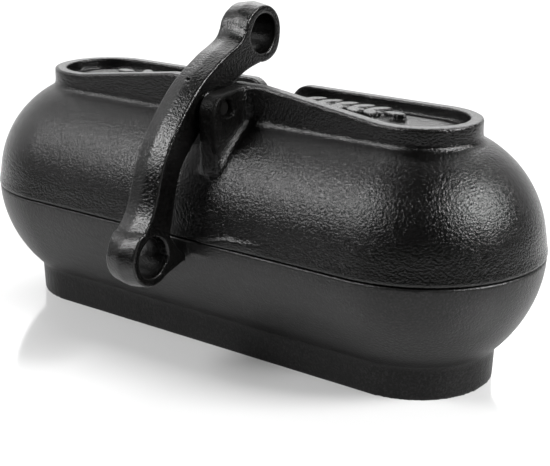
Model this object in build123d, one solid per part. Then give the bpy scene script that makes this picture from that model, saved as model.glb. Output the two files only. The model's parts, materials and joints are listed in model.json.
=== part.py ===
from build123d import *
import math
import os

# Covered cast-iron roasting oven with a carrying lever.
# Frame: origin at the centre of the foot, +X along the oven, +Y to the hinge side, +Z up.
# The lever stands on the -Y side. All sizes are millimetres.

# Body, seen from above: an oval made of two half circles joined by straight sides
HALF_WIDTH = 70.0            # half the width at the parting plane
END_X = 115.4                # each end circle's centre
PARTING_Z = 72.0             # where the lid meets the pot
WALL = 6.0
LID_RISE = 69.4              # belly height above the parting plane
LID_POWER = 2.19             # fullness of the lid's belly, 2 would be an ellipse
POT_HALF_WIDTH = 70.5
POT_DROP = 71.3
POT_POWER = 1.864
EDGE_BREAK = 0.6             # chamfer on the pot's outer edge at the parting plane

# Lip round the lid's lower edge: the wall flares outward to it
LIP_HALF_WIDTH = 71.0
LIP_LOW_Z = 72.7             # a thin dark gap shows under it
LIP_FLARE_Z = 86.0

# Foot under the pot
FOOT_HALF_WIDTH = 45.0
FOOT_TOP_HALF_WIDTH = 45.7
COVE_LOW_Z = 16.5            # the foot's wall runs straight up to here
COVE_HALF_WIDTH = 49.5       # the belly is this wide where the soft corner starts

# Locating tongue round the pot's mouth, and the rebate in the lid that drops over it
TONGUE_THICK = 2.2
TONGUE_HEIGHT = 2.2
TONGUE_GAP = 0.4

# Raised rim on top of the lid, round a shallow recess
RIM_HALF_WIDTH = 33.0
RIM_THICK = 7.2
RIM_TOP_Z = 145.0
RECESS_Z = 140.6
RIM_ROUND = 1.6
RIM_COVE = 1.8
REAR_NOTCH_HALF_WIDTH = 10.0
REAR_NOTCH_ROUND = 12.0
REAR_NOTCH_Z = 136.5
FRONT_RISE_Z = 154.7         # the front of the rim climbs to this height at the ears
FRONT_RISE_START_X = 109.0
FRONT_RISE_END_X = 34.0

# Ear for the lever's pivot, on the +X side of the lever only
EAR_INNER_X = 12.0
EAR_OUTER_X = 22.5
EAR_DRAFT = 4.4
EAR_FRONT_Y = -62.0
EAR_FRONT_TOP_Z = 151.6
EAR_ROUND = 10.0
EAR_EDGE_ROUND = 1.8
EAR_HOLE_CHAMFER = 0.8
SLOT_HALF_WIDTH = 12.0
SLOT_FLOOR_Z = 136.5
PIVOT_Y = -50.0
PIVOT_Z = 144.3

# Lever
LEVER_HALF_WIDTH = 10.2
UPPER_EYE = (-0.2, 178.4)    # (y, z) of the hanging eye, over the centre of the oven
LOWER_EYE = (-97.8, 67.9)    # (y, z) of the pulling eye
EYE_OUTER_RADIUS = 16.9
EYE_HOLE_RADIUS = 10.6
EYE_CHAMFER = 0.8
BOSS_RADIUS = 8.2
BOSS_X = 11.8                # the boss stands proud of the lever to bear on the ear
TOE_FACE_Y = -71.0           # the toe stops just clear of the pot's wall

# Pins
LEVER_PIN_RADIUS = 4.5
LEVER_PIN_SETBACK = 2.2      # the pin's end lies this far inside the ear
LEVER_PIN_BURIED_X = -7.5    # the pin's other end, inside the lever
RUNNING_CLEARANCE = 0.05
LOCK_PIN_RADIUS = 1.2
LOCK_HOLE_START = (-55.8, 159.2)   # (y, z) where the locking hole enters the lever's back
LOCK_HOLE_DEPTH = 24.0
LOCK_PIN_SETBACK = 3.0

# Hinge at the back, on the parting plane
HINGE_Y = 83.0
KNUCKLE_RADIUS = 7.5
HINGE_PIN_RADIUS = 4.0
LID_KNUCKLE_HALF = 13.5
POT_KNUCKLE_INNER = 14.0
POT_KNUCKLE_OUTER = 31.0
HINGE_HEAD_RADIUS = 6.5
HINGE_HEAD_THICK = 3.0
WASHER_RADIUS = 8.0
WASHER_THICK = 1.6
SIDE_GAP = 0.2
PIN_TAIL = 8.0
SPLIT_PIN_RADIUS = 1.1
SPLIT_PIN_EYE_RADIUS = 2.6
SPLIT_PIN_LEG = 4.2
SPLIT_PIN_OFFSET = 4.0       # from the knuckle's outer face to the split pin

# Raised leaf sprigs in the lid's recess
SPRIG_START_X = 38.0
SPRIG_END_X = 106.0
LEAF_PAIRS = 5
LEAF_LENGTH = 14.0
LEAF_CIRCLE_RADIUS = 8.6
LEAF_ANGLE = 48.0
LEAF_HEIGHT = 3.6
STEM_HALF_WIDTH = 1.2

# Ledges on the lid and pads on the pot either side of the toe
LEDGE_HALF_LENGTH = 72.0
LEDGE_INNER_X = 19.0
LEDGE_SLANT = 20.0
LEDGE_STAND = 2.2
LEDGE_HEIGHT = 5.4
PAD_INNER_X = 12.0
PAD_HALF_LENGTH = 36.0
PAD_STAND = 0.5
PAD_HEIGHT = 7.5

PROFILE_STEPS = 10


def yz_point(y, z, x=0.0):
    return Vector(x, y, z)


def belly_points(half_width, height, power, sign, last_half_width=0.0):
    """Section of a belly from its widest point towards its pole, r^2 + t^power = 1."""
    points = []
    full_turn = math.acos(last_half_width / half_width)
    for step in range(PROFILE_STEPS + 1):
        turn = full_turn * step / PROFILE_STEPS
        rise = height * math.sin(turn) ** (2 / power)
        points.append(yz_point(half_width * math.cos(turn), PARTING_Z + sign * rise))
    return points


def lid_height(y):
    """Height of the lid's belly at a distance y from the middle plane."""
    return PARTING_Z + LID_RISE * (1 - (y / HALF_WIDTH) ** 2) ** (1 / LID_POWER)


def belly_face(half_width, height, power, sign):
    """Half section in the YZ plane, bounded by the belly curve, the axis and the parting plane."""
    points = belly_points(half_width, height, power, sign)
    curve = Spline(points, tangents=[(0, 0, sign), (0, -1, 0)])
    pole = points[-1]
    centre = yz_point(0, PARTING_Z)
    return make_face([curve, Line(pole, centre), Line(centre, points[0])])


def pot_section():
    """Half section of the pot's outside: belly, soft corner and foot."""
    points = belly_points(POT_HALF_WIDTH, POT_DROP, POT_POWER, -1, COVE_HALF_WIDTH)
    belly = Spline(points)
    cove = Spline([points[-1], yz_point(FOOT_TOP_HALF_WIDTH, COVE_LOW_Z)],
                  tangents=[belly % 1, (0, 0, -1)])
    rest = Polyline([cove @ 1, yz_point(FOOT_HALF_WIDTH, 0), yz_point(0, 0),
                     yz_point(0, PARTING_Z), points[0]])
    return make_face([belly, cove, rest])


def oval(half_section):
    """Sweep a half section (y >= 0) round the oval plan."""
    left_end = revolve(Pos(-END_X, 0, 0) * half_section, Axis((-END_X, 0, 0), (0, 0, 1)), 180)
    right_end = Rot(0, 0, 180) * left_end
    side = extrude(Pos(-END_X, 0, 0) * half_section, amount=2 * END_X, dir=(1, 0, 0))
    return left_end + right_end + side + Rot(0, 0, 180) * side


def oval_from_corners(corners):
    return oval(make_face(Polyline([yz_point(y, z) for y, z in corners], close=True)))


def oval_plate(half_width, z_low, z_high):
    """Upright oval disc."""
    return oval_from_corners([(0, z_low), (half_width, z_low), (half_width, z_high), (0, z_high)])


def block(x_low, x_high, y_low, y_high, z_low, z_high):
    centre = Pos((x_low + x_high) / 2, (y_low + y_high) / 2, (z_low + z_high) / 2)
    return centre * Box(x_high - x_low, y_high - y_low, z_high - z_low)


def x_cylinder(radius, x_low, x_high, y, z):
    return Pos((x_low + x_high) / 2, y, z) * Rot(0, 90, 0) * Cylinder(radius, x_high - x_low)


def x_cone(radius_low, radius_high, x_low, x_high, y, z):
    place = Pos((x_low + x_high) / 2, y, z) * Rot(0, 90, 0)
    return place * Cone(radius_low, radius_high, x_high - x_low)


def both_sides(shape):
    return shape + mirror(shape, about=Plane.YZ)


def hinge_knuckle(x_low, x_high, sign):
    """Knuckle with an arm back to the casting; sign is +1 on the lid and -1 on the pot."""
    barrel = x_cylinder(KNUCKLE_RADIUS, x_low, x_high, HINGE_Y, PARTING_Z)
    root_y = HALF_WIDTH - WALL + 1
    near = PARTING_Z + sign * 0.5
    arm_face = make_face(Polyline([
        yz_point(root_y, near, x_low),
        yz_point(HINGE_Y, near, x_low),
        yz_point(HINGE_Y + 1, PARTING_Z + sign * KNUCKLE_RADIUS * 0.985, x_low),
        yz_point(root_y, PARTING_Z + sign * 2 * KNUCKLE_RADIUS, x_low),
    ], close=True))
    return barrel + extrude(arm_face, amount=x_high - x_low, dir=(1, 0, 0))


def swelling(half_length, front_y, stand, inner_x, slant, z_low, z_high):
    """Shallow lens-shaped swelling on the front wall, on the +X side of the lever.

    Its inner end starts at inner_x and leans outward by slant."""
    sweep_radius = (half_length ** 2 + stand ** 2) / (2 * stand)
    drum = Pos(0, front_y + sweep_radius, z_low) * Cylinder(
        sweep_radius, z_high - z_low, align=(Align.CENTER, Align.CENTER, Align.MIN))
    corners = [(inner_x, z_low), (half_length, z_low), (half_length, z_high),
               (inner_x + slant, z_high)]
    outline = make_face(Polyline([Vector(x, front_y - 1, z) for x, z in corners], close=True))
    return drum & extrude(outline, amount=stand + 5, dir=(0, 1, 0))


def pot():
    body = oval(pot_section())
    body -= oval_from_corners([
        (POT_HALF_WIDTH + 1, PARTING_Z + 1),
        (POT_HALF_WIDTH - EDGE_BREAK - 1, PARTING_Z + 1),
        (POT_HALF_WIDTH - EDGE_BREAK, PARTING_Z),
        (POT_HALF_WIDTH + 1, PARTING_Z - EDGE_BREAK - 1),
    ])
    body += both_sides(swelling(PAD_HALF_LENGTH, -POT_HALF_WIDTH - PAD_STAND, PAD_STAND + 1,
                                PAD_INNER_X, 0, PARTING_Z - PAD_HEIGHT, PARTING_Z))
    body += both_sides(hinge_knuckle(POT_KNUCKLE_INNER, POT_KNUCKLE_OUTER, -1))
    tongue_half_width = HALF_WIDTH - WALL + TONGUE_THICK
    body += oval_plate(tongue_half_width, PARTING_Z - 1, PARTING_Z + TONGUE_HEIGHT)
    body -= oval(belly_face(HALF_WIDTH - WALL, POT_DROP - WALL - 1, POT_POWER, -1))
    body -= oval_plate(HALF_WIDTH - WALL, PARTING_Z, PARTING_Z + TONGUE_HEIGHT + 1)
    return body - x_cylinder(HINGE_PIN_RADIUS + RUNNING_CLEARANCE, -POT_KNUCKLE_OUTER - 1,
                             POT_KNUCKLE_OUTER + 1, HINGE_Y, PARTING_Z)


def lip():
    """Flare that ends in the lid's lip."""
    flare_half_width = HALF_WIDTH * math.sqrt(
        1 - ((LIP_FLARE_Z - PARTING_Z) / LID_RISE) ** LID_POWER)
    low = yz_point(LIP_HALF_WIDTH - 0.3, LIP_LOW_Z)
    edge = yz_point(LIP_HALF_WIDTH, LIP_LOW_Z + 0.8)
    top = yz_point(flare_half_width, LIP_FLARE_Z)
    flare = Spline([edge, top], tangents=[(0, -0.25, 1), (0, -0.16, 1)])
    inside = HALF_WIDTH - WALL + 1
    rest = Polyline([top, yz_point(inside, LIP_FLARE_Z), yz_point(inside, LIP_LOW_Z), low, edge])
    return oval(make_face([flare, rest]))


def rim():
    """Upright rim with rounded top edges, its outer wall running into the belly by a small cove."""
    inner = RIM_HALF_WIDTH - RIM_THICK
    corner = RIM_ROUND * (1 - math.sqrt(0.5))
    cove_half_width = RIM_HALF_WIDTH + RIM_COVE
    wall_low = lid_height(RIM_HALF_WIDTH) + RIM_COVE
    cove = Spline([yz_point(cove_half_width, lid_height(cove_half_width)),
                   yz_point(RIM_HALF_WIDTH, wall_low)],
                  tangents=[(0, -1, 0.7), (0, 0, 1)])
    outer_round = ThreePointArc(yz_point(RIM_HALF_WIDTH, RIM_TOP_Z - RIM_ROUND),
                                yz_point(RIM_HALF_WIDTH - corner, RIM_TOP_Z - corner),
                                yz_point(RIM_HALF_WIDTH - RIM_ROUND, RIM_TOP_Z))
    low = lid_height(cove_half_width) - 3
    rest = Polyline([outer_round @ 1, yz_point(inner, RIM_TOP_Z), yz_point(inner, low),
                     yz_point(cove_half_width, low), cove @ 0])
    return oval(make_face([cove, Line(cove @ 1, outer_round @ 0), outer_round, rest]))


def front_rise():
    """The front of the rim climbs in a straight line from each end up to the lever."""
    low = RIM_TOP_Z - 6
    corners = [
        (-FRONT_RISE_START_X, low), (FRONT_RISE_START_X, low), (FRONT_RISE_START_X, RIM_TOP_Z),
        (FRONT_RISE_END_X, FRONT_RISE_Z), (-FRONT_RISE_END_X, FRONT_RISE_Z),
        (-FRONT_RISE_START_X, RIM_TOP_Z),
    ]
    outline = Polyline([Vector(x, -RIM_HALF_WIDTH, z) for x, z in corners], close=True)
    wall = extrude(make_face(outline), amount=RIM_THICK, dir=(0, 1, 0))
    front_top = [e for e in wall.edges() if e.center().Z > RIM_TOP_Z + 1
                 and e.center().Y < -RIM_HALF_WIDTH + 1]
    return fillet(front_top, RIM_ROUND)


def ear():
    """Ear on the +X side of the lever, its outer face tapering outward towards the belly."""
    back_y = -RIM_HALF_WIDTH + RIM_THICK - 1
    low_z = PARTING_Z + 30
    outline = FilletPolyline(
        [yz_point(back_y, low_z), yz_point(EAR_FRONT_Y, low_z),
         yz_point(EAR_FRONT_Y, EAR_FRONT_TOP_Z), yz_point(back_y, FRONT_RISE_Z)],
        radius=EAR_ROUND)
    face = make_face([outline, Line(outline @ 1, outline @ 0)])
    plate = Pos(EAR_INNER_X, 0, 0) * extrude(face, amount=30, dir=(1, 0, 0))
    section = make_face(Polyline([
        Vector(0, EAR_FRONT_Y - 1, low_z - 1),
        Vector(EAR_OUTER_X + EAR_DRAFT, EAR_FRONT_Y - 1, low_z - 1),
        Vector(EAR_OUTER_X, EAR_FRONT_Y - 1, FRONT_RISE_Z + 1),
        Vector(0, EAR_FRONT_Y - 1, FRONT_RISE_Z + 1),
    ], close=True))
    plate &= extrude(section, amount=60, dir=(0, 1, 0))
    seen = [e for e in plate.edges() if e.center().Z > low_z + 5 and e.center().Y < back_y - 5]
    return fillet(seen, EAR_EDGE_ROUND)


def ear_hole():
    outer = EAR_OUTER_X + EAR_DRAFT
    radius = LEVER_PIN_RADIUS + RUNNING_CLEARANCE
    hole = x_cylinder(radius, EAR_INNER_X - 1, outer + 1, PIVOT_Y, PIVOT_Z)
    mouth = radius + EAR_HOLE_CHAMFER
    return hole + x_cone(radius, mouth + 1, EAR_OUTER_X - EAR_HOLE_CHAMFER + 0.3,
                         EAR_OUTER_X + 1.3, PIVOT_Y, PIVOT_Z)


def rear_notch():
    """Gap in the back of the rim, with large rounded top corners."""
    reach = REAR_NOTCH_HALF_WIDTH + REAR_NOTCH_ROUND
    low_y = RIM_HALF_WIDTH - RIM_THICK - 1
    notch = block(-reach, reach, low_y, low_y + 20, REAR_NOTCH_Z, RIM_TOP_Z + 1)
    corner = Rot(90, 0, 0) * Cylinder(REAR_NOTCH_ROUND, 60)
    for side in (-1, 1):
        notch -= Pos(side * reach, RIM_HALF_WIDTH, RIM_TOP_Z - REAR_NOTCH_ROUND) * corner
    return notch


def leaf(x, y, angle):
    offset = math.sqrt(LEAF_CIRCLE_RADIUS ** 2 - (LEAF_LENGTH / 2) ** 2)
    shape = Pos(0, offset) * Circle(LEAF_CIRCLE_RADIUS) & Pos(0, -offset) * Circle(LEAF_CIRCLE_RADIUS)
    place = Pos(x, y, RECESS_Z - 0.5) * Rot(0, 0, angle) * Pos(LEAF_LENGTH / 2, 0, 0)
    return place * extrude(shape, amount=LEAF_HEIGHT + 0.5)


def sprig():
    """Stem with pairs of leaves and one at the tip, along +X."""
    low = RECESS_Z - 0.5
    stem_end = SPRIG_END_X - LEAF_LENGTH
    pitch = (stem_end - SPRIG_START_X) / LEAF_PAIRS
    relief = block(SPRIG_START_X - 3, stem_end + 1, -STEM_HALF_WIDTH, STEM_HALF_WIDTH,
                   low, RECESS_Z + LEAF_HEIGHT * 0.7)
    for pair in range(LEAF_PAIRS):
        x = SPRIG_START_X + pair * pitch
        relief += leaf(x, 0, LEAF_ANGLE)
        relief += leaf(x, 0, -LEAF_ANGLE)
    return relief + leaf(stem_end, 0, 0)


def lid():
    outer = oval(belly_face(HALF_WIDTH, LID_RISE, LID_POWER, 1))
    cavity = oval(belly_face(HALF_WIDTH - WALL, LID_RISE - WALL, LID_POWER, 1))
    body = outer - oval_plate(HALF_WIDTH + 9, PARTING_Z - 1, LIP_LOW_Z) + oval_plate(
        HALF_WIDTH - 1.2, PARTING_Z, PARTING_Z + 2)
    body += lip() + rim() + front_rise()
    body -= oval_plate(RIM_HALF_WIDTH - RIM_THICK, RECESS_Z, FRONT_RISE_Z + 1)
    body += ear()
    body -= block(-SLOT_HALF_WIDTH, SLOT_HALF_WIDTH, EAR_FRONT_Y - 1,
                  -RIM_HALF_WIDTH + RIM_THICK + 1, SLOT_FLOOR_Z, FRONT_RISE_Z + 1)
    body -= rear_notch()
    body += swelling(LEDGE_HALF_LENGTH, -HALF_WIDTH - LEDGE_STAND, LEDGE_STAND, LEDGE_INNER_X,
                     LEDGE_SLANT, LIP_LOW_Z, LIP_LOW_Z + LEDGE_HEIGHT)
    body += both_sides(sprig())
    body += hinge_knuckle(-LID_KNUCKLE_HALF, LID_KNUCKLE_HALF, 1)
    body -= cavity
    rebate = HALF_WIDTH - WALL + TONGUE_THICK + TONGUE_GAP
    body -= oval_plate(rebate, PARTING_Z - 1, PARTING_Z + TONGUE_HEIGHT + TONGUE_GAP)
    body -= ear_hole()
    return body - x_cylinder(HINGE_PIN_RADIUS + RUNNING_CLEARANCE, -LID_KNUCKLE_HALF - 1,
                             LID_KNUCKLE_HALF + 1, HINGE_Y, PARTING_Z)


def lever_outline():
    """Side view of the lever's arm."""
    outer = [(-15.9, 184.6), (-17.3, 181.6), (-19.5, 178.9), (-22.9, 176.3), (-28.0, 173.8),
             (-34.4, 171.2), (-41.2, 167.7), (-55.3, 159.2), (-69.5, 146.2), (-81.6, 131.5),
             (-90.8, 114.2), (-95.9, 98.7), (-99.6, 90.6), (-104.6, 84.0), (-110.0, 78.2)]
    inner = [(-83.5, 78.0), (-80.9, 88.3), (-76.9, 105.0), (-71.7, 116.2), (-64.5, 123.8),
             (-56.5, 132.0), (-45.0, 142.5), (-32.0, 151.0), (-18.0, 158.2), (-5.0, 161.4),
             (5.0, 163.2)]
    back = Spline([yz_point(y, z) for y, z in outer])
    front = Spline([yz_point(y, z) for y, z in inner])
    return make_face([back, Line(back @ 1, front @ 0), front, Line(front @ 1, back @ 0)])


def toe_outline():
    corners = [
        (LOWER_EYE[0] + 1, LOWER_EYE[1] - EYE_OUTER_RADIUS + 0.3),
        (TOE_FACE_Y, 59.4),
        (TOE_FACE_Y, 64.2),
        (-76.5, 68.0),
        (-83.0, 77.0),
        (LOWER_EYE[0], LOWER_EYE[1] + 9),
    ]
    return make_face(Polyline([yz_point(y, z) for y, z in corners], close=True))


def lock_axis():
    """Start point and direction of the locking pin, from the lever's back to the pivot."""
    start = yz_point(*LOCK_HOLE_START)
    return start, (yz_point(PIVOT_Y, PIVOT_Z) - start).normalized()


def along_lock_axis(radius, start_depth, end_depth):
    start, direction = lock_axis()
    middle = start + direction * ((start_depth + end_depth) / 2)
    plane = Plane(origin=middle, x_dir=(1, 0, 0), z_dir=direction)
    return plane.location * Cylinder(radius, end_depth - start_depth)


def lever():
    width = 2 * LEVER_HALF_WIDTH
    side_view = extrude(lever_outline(), amount=width, dir=(1, 0, 0))
    side_view += extrude(toe_outline(), amount=width, dir=(1, 0, 0))
    body = Pos(-LEVER_HALF_WIDTH, 0, 0) * side_view
    for y, z in (UPPER_EYE, LOWER_EYE):
        body += x_cylinder(EYE_OUTER_RADIUS, -LEVER_HALF_WIDTH, LEVER_HALF_WIDTH, y, z)
    body += x_cylinder(BOSS_RADIUS, -LEVER_HALF_WIDTH, BOSS_X, PIVOT_Y, PIVOT_Z)
    far = LEVER_HALF_WIDTH + 1
    for y, z in (UPPER_EYE, LOWER_EYE):
        body -= x_cylinder(EYE_HOLE_RADIUS, -far, far, y, z)
        mouth = x_cone(EYE_HOLE_RADIUS, EYE_HOLE_RADIUS + EYE_CHAMFER + 1,
                       LEVER_HALF_WIDTH - EYE_CHAMFER, far, y, z)
        body -= both_sides(mouth)
    body -= x_cylinder(LEVER_PIN_RADIUS, LEVER_PIN_BURIED_X - 0.5, BOSS_X + 1, PIVOT_Y, PIVOT_Z)
    return body - along_lock_axis(LOCK_PIN_RADIUS, -2, LOCK_HOLE_DEPTH)


def lever_pin():
    pin = x_cylinder(LEVER_PIN_RADIUS, LEVER_PIN_BURIED_X, EAR_OUTER_X - LEVER_PIN_SETBACK,
                     PIVOT_Y, PIVOT_Z)
    pin = chamfer(pin.edges().filter_by(GeomType.CIRCLE), 0.6)
    return pin - along_lock_axis(LOCK_PIN_RADIUS, 0, LOCK_HOLE_DEPTH)


def lever_lock_pin():
    return along_lock_axis(LOCK_PIN_RADIUS, LOCK_PIN_SETBACK, LOCK_HOLE_DEPTH - 0.5)


def split_pin_x():
    return POT_KNUCKLE_OUTER + SPLIT_PIN_OFFSET + WASHER_THICK


def hinge_pin():
    tail = POT_KNUCKLE_OUTER + PIN_TAIL + WASHER_THICK
    head_face = -POT_KNUCKLE_OUTER - SIDE_GAP
    shank = x_cylinder(HINGE_PIN_RADIUS, head_face, tail, HINGE_Y, PARTING_Z)
    shank = chamfer(shank.faces().sort_by(Axis.X)[-1].edges(), 0.8)
    head = x_cylinder(HINGE_HEAD_RADIUS, head_face - HINGE_HEAD_THICK, head_face, HINGE_Y, PARTING_Z)
    head = fillet(head.faces().sort_by(Axis.X)[0].edges(), 1.0)
    cross_hole = Rot(90, 0, 0) * Cylinder(SPLIT_PIN_RADIUS + RUNNING_CLEARANCE, 40)
    return shank + head - Pos(split_pin_x(), HINGE_Y, PARTING_Z) * cross_hole


def hinge_washer():
    start = POT_KNUCKLE_OUTER + SIDE_GAP
    disc = x_cylinder(WASHER_RADIUS, start, start + WASHER_THICK, HINGE_Y, PARTING_Z)
    return disc - x_cylinder(HINGE_PIN_RADIUS + 0.2, start - 1, start + 3, HINGE_Y, PARTING_Z)


def hinge_split_pin():
    """Split pin along Y: its eye behind the hinge pin and two short legs spread in front."""
    shank_half = HINGE_PIN_RADIUS + 0.8
    wire = SPLIT_PIN_RADIUS * 0.8
    pin = Cylinder(SPLIT_PIN_RADIUS, 2 * shank_half)
    pin += Pos(0, 0, shank_half + SPLIT_PIN_EYE_RADIUS) * Rot(90, 0, 0) * Torus(
        SPLIT_PIN_EYE_RADIUS, wire)
    leg = Pos(0, 0, -SPLIT_PIN_LEG / 2) * Cylinder(wire, SPLIT_PIN_LEG)
    for side in (-1, 1):
        pin += Pos(0, 0, -shank_half + 0.4) * Rot(0, side * 40, 0) * leg
    return Pos(split_pin_x(), HINGE_Y, PARTING_Z) * Rot(-90, 0, 0) * pin


PIECES = {
    "pot": pot,
    "lid": lid,
    "lever": lever,
    "lever_pin": lever_pin,
    "lever_lock_pin": lever_lock_pin,
    "hinge_pin": hinge_pin,
    "hinge_washer": hinge_washer,
    "hinge_split_pin": hinge_split_pin,
}

os.makedirs("parts", exist_ok=True)
for name, make in PIECES.items():
    export_step(make(), f"parts/{name}.step")
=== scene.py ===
import bpy
import bmesh
import json
import math
import numpy as np
from mathutils import Vector, Matrix


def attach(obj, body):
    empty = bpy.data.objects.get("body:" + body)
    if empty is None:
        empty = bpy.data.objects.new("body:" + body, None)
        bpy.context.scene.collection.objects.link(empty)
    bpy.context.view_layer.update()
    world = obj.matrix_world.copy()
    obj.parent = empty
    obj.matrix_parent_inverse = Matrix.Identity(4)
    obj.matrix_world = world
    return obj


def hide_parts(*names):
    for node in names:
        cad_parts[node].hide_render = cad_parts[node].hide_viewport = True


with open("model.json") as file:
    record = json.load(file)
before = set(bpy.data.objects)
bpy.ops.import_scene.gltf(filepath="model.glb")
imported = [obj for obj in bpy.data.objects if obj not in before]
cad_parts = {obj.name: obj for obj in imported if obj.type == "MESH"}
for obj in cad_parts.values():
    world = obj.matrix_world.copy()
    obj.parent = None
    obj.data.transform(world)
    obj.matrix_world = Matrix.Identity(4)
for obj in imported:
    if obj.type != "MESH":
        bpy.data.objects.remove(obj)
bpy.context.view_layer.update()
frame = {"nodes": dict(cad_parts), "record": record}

MM = 0.001

# Camera: angles in degrees, azimuth from -Y towards +X, elevation above the floor
CAMERA_AZIMUTH = 37.046
CAMERA_ELEVATION = 17.561
CAMERA_ROLL = 0.469
CAMERA_DISTANCE = 0.7777
CAMERA_TARGET = Vector((0.01625, 0.00270, 0.05911))
CAMERA_LENS = 85.37
SENSOR_WIDTH = 36.0

# Studio: a dark room with a pale wall to one side
LIGHT_AIM = Vector((0.0, 0.0, 0.08))
WALL_DIRECTION = (-0.60, 0.79, 0.10)
WALL_RANGE = (0.30, 0.85)            # from the wall's edge to its full tone, as cosines
WORLD_DARK = 0.025
WORLD_PALE = 1.1

# Floor: painted light, pale and glowing round the object and towards the wall, dim elsewhere
FLOOR_SIZE = 12
FLOOR_ROUGHNESS = 0.12
FLOOR_DIM = 0.06
FLOOR_PALE = 0.65
FLOOR_DIM_GLOW = 0.03
FLOOR_GLOW = 0.12
FLOOR_NEAR_RANGE = (0.90, 0.50)      # metres from the object, from dim to pale
FLOOR_WALL_RANGE = (0.05, 0.65)      # towards the wall, from dim to pale, as cosines

# Castings
TRIANGLE_BUDGET = 170000
WELD_REACH = 0.002 * MM
SOFTEN_STEP = 0.5                    # share of the way to the neighbours' mean in each round
NORMALS_EVERY = 6                    # rounds between two updates of the normals
EAR_COVE_ROUNDS = 66
LEVER_EASE_ROUNDS = 20
RECESS_LOW_Z = 140.0 * MM
RECESS_HALF_WIDTH = 23.0 * MM
RELIEF_SOFTENING = 0.12

# The lever's crowned back and its taper
LEVER_HALF_WIDTH = 10.2 * MM
LEVER_CROWN = 1.7 * MM
LEVER_RIDGE = 1.2 * MM               # the ridge along the lever's back is this round
LEVER_MIDDLE = (-0.040, 0.120)       # (y, z) inside the arch of the lever
LEVER_BACK_FROM = 0.05               # cosine to the outward direction where the back begins
LEVER_BACK_RISE = 0.5
LEVER_TAPER = 0.04                   # the lever narrows by this share towards its upper eye
LEVER_TAPER_Z = 150.0 * MM
LEVER_TAPER_RISE = 22.0 * MM

# Zones of a casting: each edge is (axis, from, to) in mm, and the zone's share rises from
# 0 to 1 between the two. X counts on both sides of the middle.
X, Y, Z = range(3)
EAR_COVE_ZONE = ((X, 17, 19), (X, 42, 38), (Y, -29, -32), (Z, 96, 100), (Z, 150, 140))
# painted shade on the ears and the slot between them, in the lever's shadow
EAR_SHADE_ZONE = ((Y, -34, -40), (Z, 118, 122), (X, 27, 24))
# painted shade towards the pot's foot, near the floor
FOOT_SHADE_ZONE = ((Z, 46, 24),)
FOOT_SHADE_SHARE = 0.6
EYES = [mount for mount in frame["record"]["mounts"] if mount["kind"] == "bore"]
EYE_SHADE_MARGIN = 1.0 * MM           # the painted shade reaches this far past an eye's bore
EYE_SHADE_FADE = 0.6 * MM

# Wear with a painted highlight on outer edges, and polish in hollows, where the surface bends by so
# much (1/m)
EDGE_BEND_RANGE = (140.0, 420.0)
BEND_BLUR_ROUNDS = 2
# lighter tone on outer edges: wear together with a painted edge highlight
WORN_HIGHLIGHT_TONE = (0.012, 0.0118, 0.0115)

# Iron. The coarse, fine and speck scales are divided by the grain size, and the warp and
# patch scales are per metre
GRAIN_SIZE = 1.3 * MM
WARP_SCALE = 260.0
WARP_REACH = 0.8 * MM
COARSE_SCALE = 1.15
FINE_SCALE = 1.8
SPECK_SCALE = 1.1
CELL_HEIGHT = -0.70                  # of the cells and the fine grain, against the coarse grain
FINE_HEIGHT = 0.80
PATCH_SCALE = 22.0
PATCH_RANGE = (0.3, 0.7)
PATCH_TONES = ((0.32, 0.80), (0.68, 1.18))
SPECK_TONES = ((0.34, 0.35), (0.52, 0.85), (0.72, 2.6))
EDGE_POLISH = -0.08                  # change in roughness on worn edges and in hollows
SHADE_ROUGHNESS = 0.10                # change in roughness where shade is painted
# specular level where no shade is painted, and where it is painted
UNSHADED_SHEEN = 0.34
SHADED_SHEEN = 0.05

# Steel
RING_SCALE = 2600.0
RING_STRETCH = (1.0, 0.15, 0.15)
RING_STRENGTH = 0.6
RING_DEPTH = 0.08 * MM
STREAK_SCALE = 180.0
STREAK_RANGE = (0.35, 0.65)
STREAK_TONES = ((0.40, 1.0), (0.62, 2.6))
STREAK_DULL = 0.12
STREAK_BRIGHT = 0.08
STEEL_METALLIC = 0.85
PIN_SLOTS = {
    "lever_pin": "pivot_steel",
    "lever_lock_pin": "lock_steel",
    "hinge_pin": "hinge_steel",
    "hinge_washer": "hinge_steel",
    "hinge_split_pin": "hinge_steel",
}


# ---- meshes ----------------------------------------------------------------


def flat_arrays(mesh):
    """Vertex places and edge pairs of a mesh as arrays."""
    places = np.empty(len(mesh.vertices) * 3)
    mesh.vertices.foreach_get("co", places)
    pairs = np.empty(len(mesh.edges) * 2, int)
    mesh.edges.foreach_get("vertices", pairs)
    return places.reshape(-1, 3), pairs.reshape(-1, 2)


def vertex_normals(mesh):
    """Vertex normals of a mesh as an array."""
    normals = np.empty(len(mesh.vertices) * 3)
    mesh.vertices.foreach_get("normal", normals)
    return normals.reshape(-1, 3)


def neighbour_count(places, pairs):
    """How many edges meet at each vertex."""
    return np.bincount(pairs.ravel(), minlength=len(places)).astype(float)


def neighbour_mean(values, pairs, degree):
    """The mean of each vertex's neighbours, for each column of the values."""
    total = np.empty_like(values)
    for axis in range(values.shape[1]):
        column = values[:, axis]
        total[:, axis] = (np.bincount(pairs[:, 0], column[pairs[:, 1]], len(values))
                          + np.bincount(pairs[:, 1], column[pairs[:, 0]], len(values)))
    return total / degree[:, None]


def write_attribute(obj, name, values):
    """Keeps one number per vertex under a name that a material can read."""
    attribute = obj.data.attributes.new(name, "FLOAT", "POINT")
    attribute.data.foreach_set("value", values.astype(np.float32))


def bake_modifiers(obj):
    """The object keeps what its modifiers make as its own mesh."""
    graph = bpy.context.evaluated_depsgraph_get()
    made = bpy.data.meshes.new_from_object(obj.evaluated_get(graph))
    obj.modifiers.clear()
    obj.data = made


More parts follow.
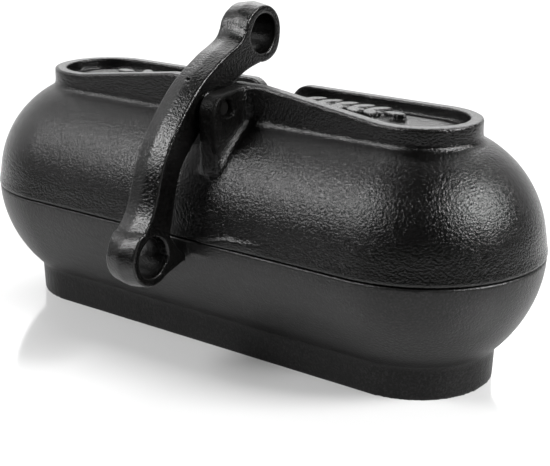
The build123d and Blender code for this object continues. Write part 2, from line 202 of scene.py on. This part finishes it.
def soften(mesh, rounds, convex_share, weight=None):
    """Rounds off a cast surface: hollow corners fill in, outer edges wear back by a smaller share."""
    places, pairs = flat_arrays(mesh)
    degree = neighbour_count(places, pairs)
    for step in range(rounds):
        if step % NORMALS_EVERY == 0:
            mesh.vertices.foreach_set("co", places.ravel())
            mesh.update()
            normals = vertex_normals(mesh)
        pull = neighbour_mean(places, pairs, degree) - places
        hollow = (pull * normals).sum(1) > 0
        share = np.where(hollow, 1.0, convex_share) * SOFTEN_STEP
        if weight is not None:
            share = share * weight
        places += pull * share[:, None]
    mesh.vertices.foreach_set("co", places.ravel())
    mesh.update()


# ---- zones -----------------------------------------------------------------


def zone(places, edges):
    """How far each place is inside a zone, from 0 to 1."""
    share = 1.0
    for axis, start, full in edges:
        along = np.abs(places[:, X]) if axis == X else places[:, axis]
        share = share * np.clip((along - start * MM) / ((full - start) * MM), 0, 1)
    return share


def crisp_relief(places):
    """The raised sprigs in the lid's recess keep their edges."""
    in_recess = (places[:, Z] > RECESS_LOW_Z) & (np.abs(places[:, Y]) < RECESS_HALF_WIDTH)
    return np.where(in_recess, RELIEF_SOFTENING, 1.0)


def beside_ears(places):
    """The corners between an ear's outer face, the rim and the belly fill in further."""
    return zone(places, EAR_COVE_ZONE)


def ear_shade(places):
    """Painted shade on the ears and the slot between them, where the lever shades them."""
    return zone(places, EAR_SHADE_ZONE)


def foot_shade(places):
    """Painted shade on the pot, growing towards its foot."""
    return FOOT_SHADE_SHARE * zone(places, FOOT_SHADE_ZONE)


def eye_shade(places):
    """Painted shade in the bores of the lever's two eyes."""
    past = []
    for eye in EYES:
        _, y, z = eye["pos_m"]
        radius = eye["dims"]["r_mm"] * MM + EYE_SHADE_MARGIN
        past.append(np.hypot(places[:, Y] - y, places[:, Z] - z) - radius)
    return np.clip(-np.minimum(*past) / EYE_SHADE_FADE, 0, 1)


# ---- castings --------------------------------------------------------------


def casting(name, node, body, voxel, rounds, convex_share, crisp=None):
    """A softened copy of a CAD node, which stands in for it; crisp limits the
    softening."""
    mesh = frame["nodes"][node].data.copy()
    weld = bmesh.new()
    weld.from_mesh(mesh)
    bmesh.ops.remove_doubles(weld, verts=weld.verts, dist=WELD_REACH)
    weld.to_mesh(mesh)
    weld.free()
    obj = bpy.data.objects.new(name, mesh)
    bpy.context.scene.collection.objects.link(obj)
    remesh = obj.modifiers.new("remesh", "REMESH")
    remesh.mode = "VOXEL"
    remesh.voxel_size = voxel
    remesh.use_smooth_shade = True
    bake_modifiers(obj)
    weight = crisp(flat_arrays(obj.data)[0]) if crisp else None
    soften(obj.data, rounds, convex_share, weight)
    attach(obj, body)
    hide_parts(node)
    return obj


def thin_out(obj):
    """Brings a casting under the triangle budget."""
    triangles = sum(len(p.vertices) - 2 for p in obj.data.polygons)
    if triangles > TRIANGLE_BUDGET:
        decimate = obj.modifiers.new("decimate", "DECIMATE")
        decimate.ratio = TRIANGLE_BUDGET / triangles
        bake_modifiers(obj)
    obj.data.polygons.foreach_set("use_smooth", [True] * len(obj.data.polygons))


def outward_bend(mesh):
    """How sharply the surface bends outward at each vertex, in 1/m."""
    places, pairs = flat_arrays(mesh)
    normals = vertex_normals(mesh)
    along = places[pairs[:, 1]] - places[pairs[:, 0]]
    turn = normals[pairs[:, 1]] - normals[pairs[:, 0]]
    bend = (along * turn).sum(1) / np.maximum((along ** 2).sum(1), 1e-12)
    total = (np.bincount(pairs[:, 0], bend, len(places))
             + np.bincount(pairs[:, 1], bend, len(places)))
    degree = neighbour_count(places, pairs)
    ridge = (total / degree)[:, None]
    for _ in range(BEND_BLUR_ROUNDS):
        ridge = 0.5 * ridge + 0.5 * neighbour_mean(ridge, pairs, degree)
    return ridge[:, 0]


def finish_casting(obj, soot, iron):
    """Thins a casting, marks its worn, highlighted ridges and its painted shade, and paints it."""
    thin_out(obj)
    write_attribute(obj, "ridge", outward_bend(obj.data))
    write_attribute(obj, "soot", soot(flat_arrays(obj.data)[0]))
    paint(obj, iron)


def crown_lever(obj):
    """The lever's back falls away from the ridge along its middle towards both sides."""
    places, pairs = flat_arrays(obj.data)
    normals = vertex_normals(obj.data)
    outward = places[:, 1:] - np.array(LEVER_MIDDLE)
    outward /= np.linalg.norm(outward, axis=1)[:, None]
    side_view = normals[:, 1:] / np.maximum(np.linalg.norm(normals[:, 1:], axis=1), 1e-6)[:, None]
    facing = (side_view * outward).sum(1)
    on_back = np.clip((facing - LEVER_BACK_FROM) / LEVER_BACK_RISE, 0, 1)
    aside = np.sqrt(places[:, X] ** 2 + LEVER_RIDGE ** 2) - LEVER_RIDGE
    fall = LEVER_CROWN * aside / LEVER_HALF_WIDTH * on_back
    places[:, 1:] -= side_view * fall[:, None]
    up = np.clip((places[:, Z] - LEVER_TAPER_Z) / LEVER_TAPER_RISE, 0, 1)
    places[:, X] *= 1 - LEVER_TAPER * up
    obj.data.vertices.foreach_set("co", places.ravel())
    obj.data.update()


# ---- materials -------------------------------------------------------------


def node_maker(tree):
    """A function that adds a node to the tree and fills its inputs by name, or by number as _N."""
    def node(kind, settings=None, **wires):
        made = tree.nodes.new(kind)
        for key, value in (settings or {}).items():
            setattr(made, key, value)
        for key, value in wires.items():
            socket = made.inputs[int(key[1:])] if key[0] == "_" else made.inputs[key.replace("_", " ")]
            if isinstance(value, bpy.types.NodeSocket):
                tree.links.new(value, socket)
            else:
                socket.default_value = value
        return made

    return node


def new_material(name):
    """An empty node material and its node maker."""
    material = bpy.data.materials.new(name)
    material.use_nodes = True
    material.node_tree.nodes.clear()
    return material, node_maker(material.node_tree)


def mapped(node, value, source, target, smooth=False):
    """The value moved from the source range to the target range."""
    settings = {"interpolation_type": "SMOOTHSTEP"} if smooth else {}
    made = node("ShaderNodeMapRange", settings, Value=value,
                _1=source[0], _2=source[1], _3=target[0], _4=target[1])
    return made.outputs[0]


def multiplied(node, value, factor, added):
    """value * factor + added"""
    made = node("ShaderNodeMath", {"operation": "MULTIPLY_ADD"}, _0=value, _1=factor, _2=added)
    return made.outputs[0]


def mixed(node, blend, factor, first, second):
    """The first colour, mixed with the second."""
    settings = {"data_type": "RGBA", "blend_type": blend}
    return node("ShaderNodeMix", settings, _0=factor, _6=first, _7=second).outputs[2]


def value_ramp(node, source, stops):
    """A colour ramp from (place, colour) stops."""
    ramp = node("ShaderNodeValToRGB", Fac=source)
    elements = ramp.color_ramp.elements
    while len(elements) < len(stops):
        elements.new(0.5)
    for element, (place, colour) in zip(elements, stops):
        element.position = place
        element.color = (*colour, 1)
    return ramp.outputs["Color"]


def tone_ramp(node, source, tone, stops):
    """A colour ramp from (place, share of the tone) stops."""
    return value_ramp(node, source, [(place, tuple(share * c for c in tone)) for place, share in stops])


def grain_bump(node, place, grain_depth):
    """The normal of leathery sand-cast grain: bent cells under coarse and fine noise."""
    warp = node("ShaderNodeTexNoise", Vector=place, Scale=WARP_SCALE, Detail=1.0)
    bent = node("ShaderNodeVectorMath", {"operation": "MULTIPLY_ADD"},
                _0=warp.outputs["Color"], _1=(WARP_REACH,) * 3, _2=place)
    cells = node("ShaderNodeTexVoronoi", {"feature": "SMOOTH_F1"},
                 Vector=bent.outputs[0], Scale=1 / GRAIN_SIZE, Smoothness=0.7)
    coarse = node("ShaderNodeTexNoise", Vector=place, Scale=COARSE_SCALE / GRAIN_SIZE, Detail=2.0,
                  Roughness=0.65)
    fine = node("ShaderNodeTexNoise", Vector=place, Scale=FINE_SCALE / GRAIN_SIZE, Detail=2.0,
                Roughness=0.6)
    lumps = multiplied(node, cells.outputs["Distance"], CELL_HEIGHT, coarse.outputs["Fac"])
    height = multiplied(node, fine.outputs["Fac"], FINE_HEIGHT, lumps)
    return node("ShaderNodeBump", Strength=1.0, Distance=grain_depth, Height=height).outputs[0]


def cast_iron(name, tone, grain_depth, roughness, sheen_patches):
    """Seasoned cast iron: sand-cast grain, specks, faint patches in the sheen, polish and a painted
    highlight on worn ridges, polish in hollows, and painted shade that lowers the sheen."""
    material, node = new_material(name)
    place = node("ShaderNodeTexCoord").outputs["Object"]
    bump = grain_bump(node, place, grain_depth)

    patches = node("ShaderNodeTexNoise", Vector=place, Scale=PATCH_SCALE, Detail=4.0,
                   Roughness=0.6).outputs["Fac"]
    specks = node("ShaderNodeTexNoise", Vector=place, Scale=SPECK_SCALE / GRAIN_SIZE,
                  Detail=2.0).outputs["Fac"]
    tint = tone_ramp(node, patches, tone, PATCH_TONES)
    dust = tone_ramp(node, specks, (1.0, 1.0, 1.0), SPECK_TONES)
    speckled = mixed(node, "MULTIPLY", 1.0, tint, dust)

    ridge = node("ShaderNodeAttribute", {"attribute_name": "ridge"}).outputs["Fac"]
    # painted shade: where this is high the iron reflects less and is rougher
    soot = node("ShaderNodeAttribute", {"attribute_name": "soot"}).outputs["Fac"]
    worn_highlight = mapped(node, ridge, EDGE_BEND_RANGE, (0.0, 1.0), smooth=True)
    hollow = mapped(node, ridge, [-bend for bend in EDGE_BEND_RANGE], (0.0, 1.0), smooth=True)
    # outer edges lighter: wear together with a painted highlight
    colour = mixed(node, "MIX", worn_highlight, speckled, (*WORN_HIGHLIGHT_TONE, 1))

    patchy = mapped(node, patches, PATCH_RANGE,
                    (roughness - sheen_patches, roughness + sheen_patches))
    polish = node("ShaderNodeMath", {"operation": "ADD"}, _0=worn_highlight, _1=hollow).outputs[0]
    smoother = multiplied(node, polish, EDGE_POLISH, patchy)
    duller = multiplied(node, soot, SHADE_ROUGHNESS, smoother)
    # painted shade: the sheen drops where shade is painted
    sheen = mapped(node, soot, (0.0, 1.0), (UNSHADED_SHEEN, SHADED_SHEEN))
    shader = node("ShaderNodeBsdfPrincipled", Base_Color=colour, Roughness=duller, Normal=bump,
                  Metallic=0.0, Specular_IOR_Level=sheen)
    node("ShaderNodeOutputMaterial", Surface=shader.outputs[0])
    return material


def worn_steel(name, tone, roughness):
    """Blackened steel pin with fine turned rings, worn lighter in streaks."""
    material, node = new_material(name)
    place = node("ShaderNodeTexCoord").outputs["Object"]
    stretched = node("ShaderNodeMapping", Vector=place, Scale=RING_STRETCH)
    rings = node("ShaderNodeTexNoise", Vector=stretched.outputs[0], Scale=RING_SCALE, Detail=2.0)
    streaks = node("ShaderNodeTexNoise", Vector=place, Scale=STREAK_SCALE, Detail=5.0,
                   Roughness=0.65).outputs["Fac"]
    colour = tone_ramp(node, streaks, tone, STREAK_TONES)
    rough = mapped(node, streaks, STREAK_RANGE, (roughness + STREAK_DULL, roughness - STREAK_BRIGHT))
    bump = node("ShaderNodeBump", Strength=RING_STRENGTH, Distance=RING_DEPTH,
                Height=rings.outputs["Fac"])
    shader = node("ShaderNodeBsdfPrincipled", Base_Color=colour, Roughness=rough,
                  Normal=bump.outputs[0], Metallic=STEEL_METALLIC)
    node("ShaderNodeOutputMaterial", Surface=shader.outputs[0])
    return material


def paint(obj, material):
    """The whole object takes one material."""
    obj.data.materials.clear()
    obj.data.materials.append(material)
    for polygon in obj.data.polygons:
        polygon.material_index = 0


# ---- pieces ----------------------------------------------------------------


def make_pot():
    """The lower half, greyer than the lid, with painted shade towards its foot."""
    pot = casting("pot_casting", "pot", "pot_body",
                  voxel=0.95 * MM, rounds=6, convex_share=0.20)
    iron = cast_iron("pot_iron", (0.0064, 0.0063, 0.0062),
                     grain_depth=0.19 * MM, roughness=0.34, sheen_patches=0.03)
    finish_casting(pot, foot_shade, iron)


def make_lid():
    """The upper half, with its corners beside the ears filled in."""
    lid = casting("lid_casting", "lid", "lid_body",
                  voxel=0.85 * MM, rounds=14, convex_share=0.12, crisp=crisp_relief)
    soften(lid.data, EAR_COVE_ROUNDS, 0.0, beside_ears(flat_arrays(lid.data)[0]))
    iron = cast_iron("lid_iron", (0.0024, 0.0023, 0.0022),
                     grain_depth=0.27 * MM, roughness=0.20, sheen_patches=0.04)
    finish_casting(lid, ear_shade, iron)


def make_lever():
    """The lever, crowned along its back and slimmer towards its upper eye."""
    lever = casting("lever_casting", "lever", "lever_body",
                    voxel=0.55 * MM, rounds=3, convex_share=0.5)
    crown_lever(lever)
    soften(lever.data, LEVER_EASE_ROUNDS, 0.14)
    iron = cast_iron("lever_iron", (0.0019, 0.0018, 0.0017),
                     grain_depth=0.18 * MM, roughness=0.18, sheen_patches=0.04)
    # the bores of the eyes get painted shade
    finish_casting(lever, eye_shade, iron)


def finish_pins():
    """The CAD pins and washer keep their shapes and get their finish."""
    steel = worn_steel("black_steel", (0.014, 0.0136, 0.0132), roughness=0.38)
    for name, slot in PIN_SLOTS.items():
        paint(frame["nodes"][name], steel)


# ---- camera, lights, floor -------------------------------------------------


def direction(azimuth, elevation):
    """The unit vector at these angles in degrees, azimuth from -Y towards +X."""
    az, el = math.radians(azimuth), math.radians(elevation)
    return Vector((math.sin(az) * math.cos(el), -math.cos(az) * math.cos(el), math.sin(el)))


def make_camera():
    """The camera of the photo's view."""
    back = direction(CAMERA_AZIMUTH, CAMERA_ELEVATION)
    az = math.radians(CAMERA_AZIMUTH)
    right = Vector((math.cos(az), math.sin(az), 0))
    roll = Matrix.Rotation(math.radians(CAMERA_ROLL), 3, "Z")
    basis = Matrix((right, back.cross(right), back)).transposed() @ roll
    camera = bpy.data.cameras.new("camera")
    camera.lens = CAMERA_LENS
    camera.sensor_width = SENSOR_WIDTH
    obj = bpy.data.objects.new("camera", camera)
    obj.matrix_world = Matrix.Translation(CAMERA_TARGET + back * CAMERA_DISTANCE) @ basis.to_4x4()
    bpy.context.scene.collection.objects.link(obj)
    bpy.context.scene.camera = obj


def make_softbox(name, azimuth, elevation, distance, width, height, radiance, facing=None):
    """A rectangular softbox, which faces the object unless it is told to face another way."""
    place = LIGHT_AIM + direction(azimuth, elevation) * distance
    data = bpy.data.lights.new(name, "AREA")
    data.shape = "RECTANGLE"
    data.size, data.size_y = width, height
    data.energy = radiance * math.pi * width * height
    obj = bpy.data.objects.new(name, data)
    obj.location = place
    turn = Vector(facing) if facing else LIGHT_AIM - place
    obj.rotation_euler = turn.to_track_quat("-Z", "Y").to_euler()
    bpy.context.scene.collection.objects.link(obj)


def make_lights():
    """Key, fill and kicker light the castings, and the wall light brightens the floor behind."""
    make_softbox("key", azimuth=-34, elevation=39, distance=1.5,
                 width=0.50, height=0.46, radiance=24.0)
    make_softbox("fill", azimuth=-64, elevation=28, distance=1.8,
                 width=1.6, height=1.6, radiance=0.9)
    make_softbox("fill_core", azimuth=-57, elevation=46, distance=1.6,
                 width=0.6, height=0.5, radiance=1.7)
    make_softbox("kicker", azimuth=103, elevation=36, distance=1.4,
                 width=0.50, height=0.50, radiance=35.0)
    make_softbox("wall_light", azimuth=-150, elevation=38, distance=2.1,
                 width=2.0, height=2.0, radiance=3.0, facing=(0.25, -0.33, -1))


def make_world():
    """Dark studio with a pale wall to one side."""
    world = bpy.data.worlds.new("studio")
    bpy.context.scene.world = world
    world.use_nodes = True
    node = node_maker(world.node_tree)
    facing = node("ShaderNodeTexCoord").outputs["Generated"]
    along = node("ShaderNodeVectorMath", {"operation": "DOT_PRODUCT"}, _0=facing, _1=WALL_DIRECTION)
    glow = mapped(node, along.outputs["Value"], WALL_RANGE, (WORLD_DARK, WORLD_PALE), smooth=True)
    background = world.node_tree.nodes["Background"]
    background.inputs[0].default_value = (1, 1, 1, 1)
    world.node_tree.links.new(glow, background.inputs[1])


def make_floor():
    """Floor with painted light: pale and glowing round the object and towards the wall, dim elsewhere.
    """
    bpy.ops.mesh.primitive_plane_add(size=FLOOR_SIZE)
    floor = bpy.context.object
    floor.name = "floor"
    material, node = new_material("floor")
    place = node("ShaderNodeTexCoord").outputs["Object"]
    reach = node("ShaderNodeVectorMath", {"operation": "LENGTH"}, _0=place)
    heading = node("ShaderNodeVectorMath", {"operation": "NORMALIZE"}, _0=place)
    toward = node("ShaderNodeVectorMath", {"operation": "DOT_PRODUCT"},
                  _0=heading.outputs[0], _1=WALL_DIRECTION)
    behind = mapped(node, toward.outputs["Value"], FLOOR_WALL_RANGE, (0.0, 1.0), smooth=True)
    near = mapped(node, reach.outputs["Value"], FLOOR_NEAR_RANGE, (0.0, 1.0), smooth=True)
    pale = node("ShaderNodeMath", {"operation": "MAXIMUM"}, _0=behind, _1=near).outputs[0]
    tone = mapped(node, pale, (0.0, 1.0), (FLOOR_DIM, FLOOR_PALE))
    # painted light: the floor glows where it is pale
    glow = mapped(node, pale, (0.0, 1.0), (FLOOR_DIM_GLOW, FLOOR_GLOW))
    shader = node("ShaderNodeBsdfPrincipled", Base_Color=tone, Roughness=FLOOR_ROUGHNESS,
                  Emission_Color=(1, 1, 1, 1), Emission_Strength=glow)
    node("ShaderNodeOutputMaterial", Surface=shader.outputs[0])
    paint(floor, material)


make_pot()
make_lid()
make_lever()
finish_pins()
make_camera()
make_lights()
make_floor()
make_world()
bpy.context.scene.view_settings.view_transform = "Standard"
